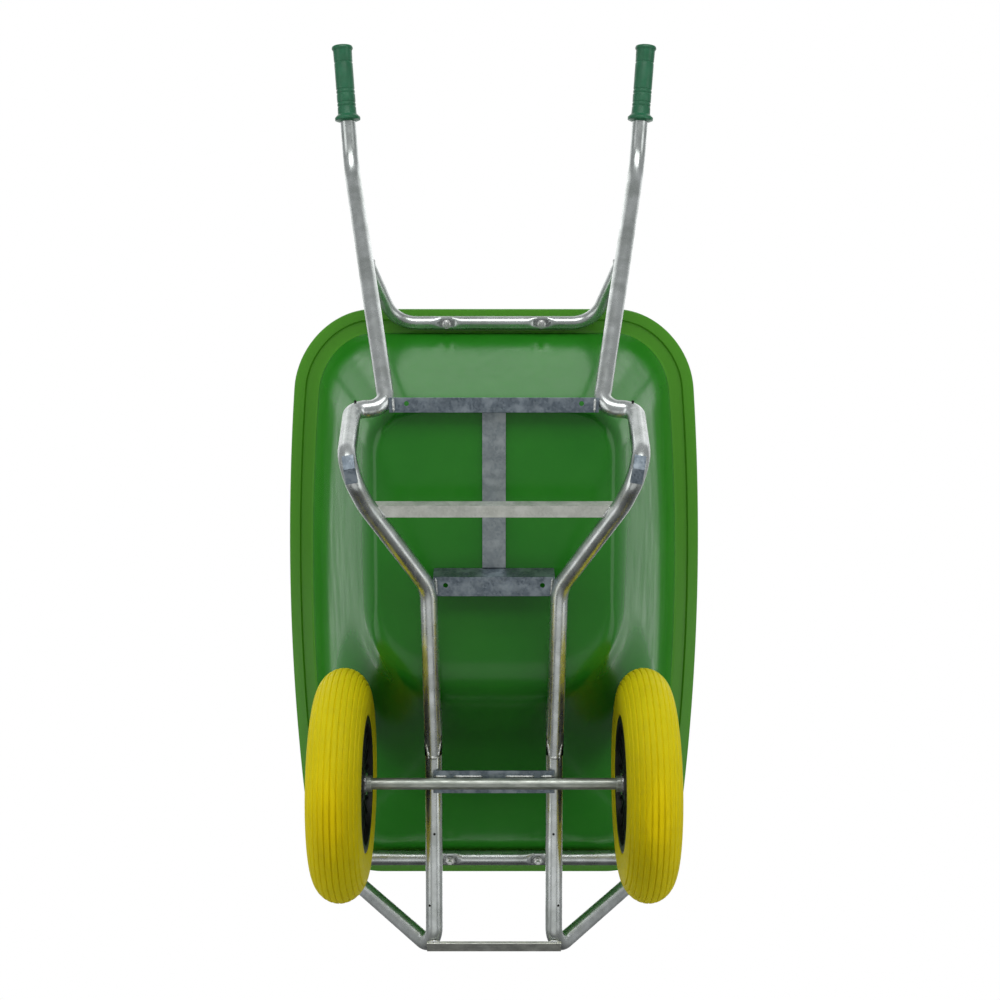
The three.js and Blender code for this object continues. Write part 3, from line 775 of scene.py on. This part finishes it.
def bolt_parts(bottom):
    """A domed head on the lip, and a shank that ends below the nut."""
    dome = [(0.01, 5, 0), (6, 4.4, 4), (10, 1.6, 1), (10, GAP, 0.2), (BOLT_RADIUS, GAP, 0)]
    tip = bottom - 12
    end = [(BOLT_RADIUS, tip + 1), (BOLT_RADIUS - 0.8, tip), (0.01, tip)]
    return [upright(rounded(dome)), upright([(BOLT_RADIUS, GAP), *end])]


def washer_part(top):
    low = top - WASHER_THICKNESS
    return upright([(WASHER_BORE, top), (WASHER_RADIUS, top), (WASHER_RADIUS, low), (WASHER_BORE, low)])


def fasteners():
    rows = (
        ("rear", HOOP_Y, TRAY_WALL + LIP_STEP + 2 * RIM_TUBE, RIM_TUBE),
        ("front", LOOP_Y, TRAY_WALL + 2 * TUBE, TUBE),
    )
    turn = Matrix.Rotation(RIM_TILT, 3, "X")
    for row, y, clamped, radius in rows:
        bottom = -clamped + DIMPLE * radius - 0.6
        kinds = {
            "bolt": bolt_parts(bottom),
            "washer": [washer_part(bottom)],
            "nut": [nut_part(bottom - WASHER_THICKNESS - NUT_HEIGHT - 0.2)],
        }
        for name, side in SIDES:
            place = (side * BOLT_X, y, rim_z(y))
            for kind, parts in kinds.items():
                node = f"{row}_{name}_tray_{kind}"
                placed = [moved(part, place, turn) for part in parts]
                piece(f"{node}_seen", placed, ZINC, replaces=[node])


# ---------- Welds ----------


def bead(points, radius, pitch=3.2):
    """A weld bead: a low ridge along a path, with the ripple that a welder leaves."""
    points = dense(np.asarray(points, float), 0.8)
    run = np.concatenate([[0], np.cumsum(np.linalg.norm(np.diff(points, axis=0), axis=1))])
    ripple = 0.85 + 0.2 * np.abs(np.sin(pi * run / pitch)) + 0.08 * np.sin(run * 0.7)
    ends = np.clip(np.minimum(run, run[-1] - run) / (1.5 * radius), 0.25, 1)
    return loft(tube_rings(points, radius * ripple * ends, 10), caps=True)


def ring_bead(centre, axis, radius, start, stop, size=2.2):
    """A bead round a tube, from one angle to another; angle 0 faces down."""
    axis = unit(np.array(axis, float))
    down = unit(np.array([0, 0, -1]) + axis * axis[2])
    side = np.cross(axis, down)
    angles = np.radians(np.linspace(start, stop, 40))
    centre = np.array(centre, float)
    return bead([centre + radius * (down * cos(a) + side * sin(a)) for a in angles], size)


def crossbar_beads():
    """At the left ends of the two crossbars and of the brace between the legs."""
    rear_crossbar = [(168.5, 81, 174.5), (169.5, 104, 174.5)]
    front_crossbar = [(98.5, -199, 162.5), (97.5, -230, 170)]
    leg_brace = [(187.5, -66.5, 53.5), (174.5, -85.5, 59.5)]
    return [bead(rear_crossbar, 2.4), bead(front_crossbar, 2.4), bead(leg_brace, 2.2)]


def nose_beads():
    """Where the nose bar's lower edge crosses the bend of the left front tube."""
    along, down = sin(NOSE_BAR_TURN), cos(NOSE_BAR_TURN)
    reach = NOSE_BEND + TUBE + 1
    y = NOSE_Y + NOSE_BEND - reach * along + NOSE_BAR_EDGE * down
    z = FRONT_Z + NOSE_BEND - reach * down - NOSE_BAR_EDGE * along
    return [bead([(FRONT_TUBE_X + x, y, z + rise) for x, rise in ((-9, 1), (0, 0), (9, 1))], 2.6)]


def foot_beads():
    """Along both edges of the wear plate under the left leg."""
    path = bent_path(HANDLE)
    low = path[np.argmin(path[:, 2])]
    plate = low[2] - TUBE
    beads = []
    for offset in (-7.5, 7.5):
        front, rear = (low[0] + offset - 2, low[1] - 11), (low[0] + offset + 2, low[1] + 10)
        beads.append(bead([(*front, plate), (*rear, plate)], 2.2))
    return beads


def axle_beads():
    """The rail's end on the front tube, and the axle under its plate, on the left."""
    x, tip, under = FRONT_TUBE_X, RAIL_TIP_Y, FRONT_Z - TUBE
    beads = [bead([(x - 9, tip - 1, under), (x + 9, tip - 1, under)], 3.6)]
    for side in (-1, 1):
        beads.append(bead([(x + side * 12, tip + 26, under), (x + side * 8, tip, under)], 2.6))
        y, z = AXLE_Y + side * (AXLE_RADIUS + 0.5), AXLE_Z + 8.5
        beads.append(bead([(20, y, z), (70, y, z)], 2))
        beads.append(bead([(82, y, z), (104, y, z)], 2.2))
    return beads


def weld_parts():
    end, corner = hoop_arm()
    arm = unit(corner - end)
    hoop = ring_bead(end + arm * 4, arm, RIM_TUBE, 0, 360)
    return [hoop, *crossbar_beads(), *nose_beads(), *foot_beads(), *axle_beads()]


def welds():
    half = weld_parts()
    piece("weld_beads", half + [flipped(part) for part in half], WELD_METAL)


# ---------- Floor, light and camera ----------


def stage_floor():
    """A pale floor that only shows from above, so that the camera can look up through it."""
    size = 30
    mesh = bpy.data.meshes.new("floor")
    corners = [(-size, -size, 0), (size, -size, 0), (size, size, 0), (-size, size, 0)]
    mesh.from_pydata(corners, [], [(0, 1, 2, 3)])
    floor = bpy.data.objects.new("floor", mesh)
    bpy.context.scene.collection.objects.link(floor)
    s = Surface("floor_paper")
    s.finish(s.mix(s.noise(3), (0.80, 0.80, 0.79, 1), (0.84, 0.84, 0.83, 1)), 0.9)
    clear = s.tree.nodes.new("ShaderNodeBsdfTransparent")
    side = s.tree.nodes.new("ShaderNodeNewGeometry")
    choose = s.tree.nodes.new("ShaderNodeMixShader")
    s.put(side.outputs["Backfacing"], choose.inputs["Fac"])
    s.put(s.shader.outputs["BSDF"], choose.inputs[1])
    s.put(clear.outputs["BSDF"], choose.inputs[2])
    s.put(choose.outputs["Shader"], s.tree.nodes["Material Output"].inputs["Surface"])
    mesh.materials.append(s.material)
    floor.visible_shadow = False
    floor.visible_glossy = False


def softbox(name, place, target, size, power):
    data = bpy.data.lights.new(name, "AREA")
    data.shape = "RECTANGLE"
    data.size, data.size_y = size
    data.energy = power
    lamp = bpy.data.objects.new(name, data)
    bpy.context.scene.collection.objects.link(lamp)
    lamp.location = place
    lamp.rotation_mode = "QUATERNION"
    lamp.rotation_quaternion = (Vector(target) - Vector(place)).to_track_quat("-Z", "Y")
    lamp.visible_camera = False


def softboxes():
    """Narrow boxes along the tray, small ones at its rear end, broad ones below, and one overhead."""
    for name, side in SIDES:
        wall, end = (side * 0.3, -0.35, 0.4), (side * 0.3, 0.2, 0.4)
        softbox(f"{name}_strip", (side * 1.9, -0.35, 2.4), wall, (3.4, 0.10), 1.3)
        softbox(f"{name}_end", (side * 2.5, 0.6, 2.3), end, (0.9, 0.9), 1.8)
        softbox(f"{name}_corner", (side * 1.6, 1.5, 2.3), end, (1.3, 1.3), 3)
        softbox(f"{name}_wing", (side * 2.6, -0.2, -1.1), (0, -0.2, 0.3), (3.2, 1.6), 18)
    softbox("low_handle_end", (0, 3.2, -2.4), (0, 0, 0.3), (4.2, 2.2), 85)
    softbox("low_nose_end", (0, -1.9, -2.2), (0, -0.3, 0.2), (3.0, 1.4), 7)
    softbox("high_handle_end", (0, 2.6, 2.2), (0, 0, 0.4), (4.5, 1.4), 11)
    softbox("overhead", (0, 0, 5), (0, 0.01, 0), (5.6, 7), 125)


def backdrop():
    """White behind the barrow seen from below, grey at the horizon, dim in reflections."""
    world = bpy.data.worlds.new("studio")
    bpy.context.scene.world = world
    world.use_nodes = True
    nodes, links = world.node_tree.nodes, world.node_tree.links
    direction, split = nodes.new("ShaderNodeTexCoord"), nodes.new("ShaderNodeSeparateXYZ")
    links.new(direction.outputs["Generated"], split.inputs["Vector"])
    seen, unseen = nodes["Background"], nodes.new("ShaderNodeBackground")
    seen.inputs["Color"].default_value = (1, 1, 1, 1)
    unseen.inputs["Color"].default_value = (0.96, 0.98, 1, 1)
    for background, axis, fade in (
        (seen, "Z", (0.1, 0.6, 0.62, 1.0)),
        (unseen, "Y", (-0.95, -0.25, 0.05, 0.36)),
    ):
        ramp = nodes.new("ShaderNodeMapRange")
        for key, value in zip(("From Min", "From Max", "To Min", "To Max"), fade):
            ramp.inputs[key].default_value = value
        links.new(split.outputs[axis], ramp.inputs["Value"])
        links.new(ramp.outputs["Result"], background.inputs["Strength"])
    ray, choose = nodes.new("ShaderNodeLightPath"), nodes.new("ShaderNodeMixShader")
    links.new(ray.outputs["Is Camera Ray"], choose.inputs["Fac"])
    links.new(unseen.outputs["Background"], choose.inputs[1])
    links.new(seen.outputs["Background"], choose.inputs[2])
    links.new(choose.outputs["Shader"], nodes["World Output"].inputs["Surface"])
    bpy.context.scene.view_settings.view_transform = "Standard"


def camera():
    """Under the barrow, square to its underside but for a tilt of five degrees."""
    data = bpy.data.cameras.new("camera")
    data.sensor_width, data.lens, data.shift_x = SENSOR, LENS, LENS_SHIFT
    data.clip_end = 100
    cam = bpy.data.objects.new("camera", data)
    bpy.context.scene.collection.objects.link(cam)
    along, down = sin(CAMERA_TILT), cos(CAMERA_TILT)
    forward, up = Vector((0, -along, down)), Vector((0, down, along))
    turn = Matrix((forward.cross(up), up, -forward)).transposed()
    cam.matrix_world = Matrix.Translation(to_row(CAMERA_AT)) @ turn.to_4x4()
    bpy.context.scene.camera = cam


# ---------- Build ----------

tray()
frame_tubes()
vent_holes()
dress_cad()
wheels()
grips()
fasteners()
welds()
stage_floor()
softboxes()
backdrop()
camera()
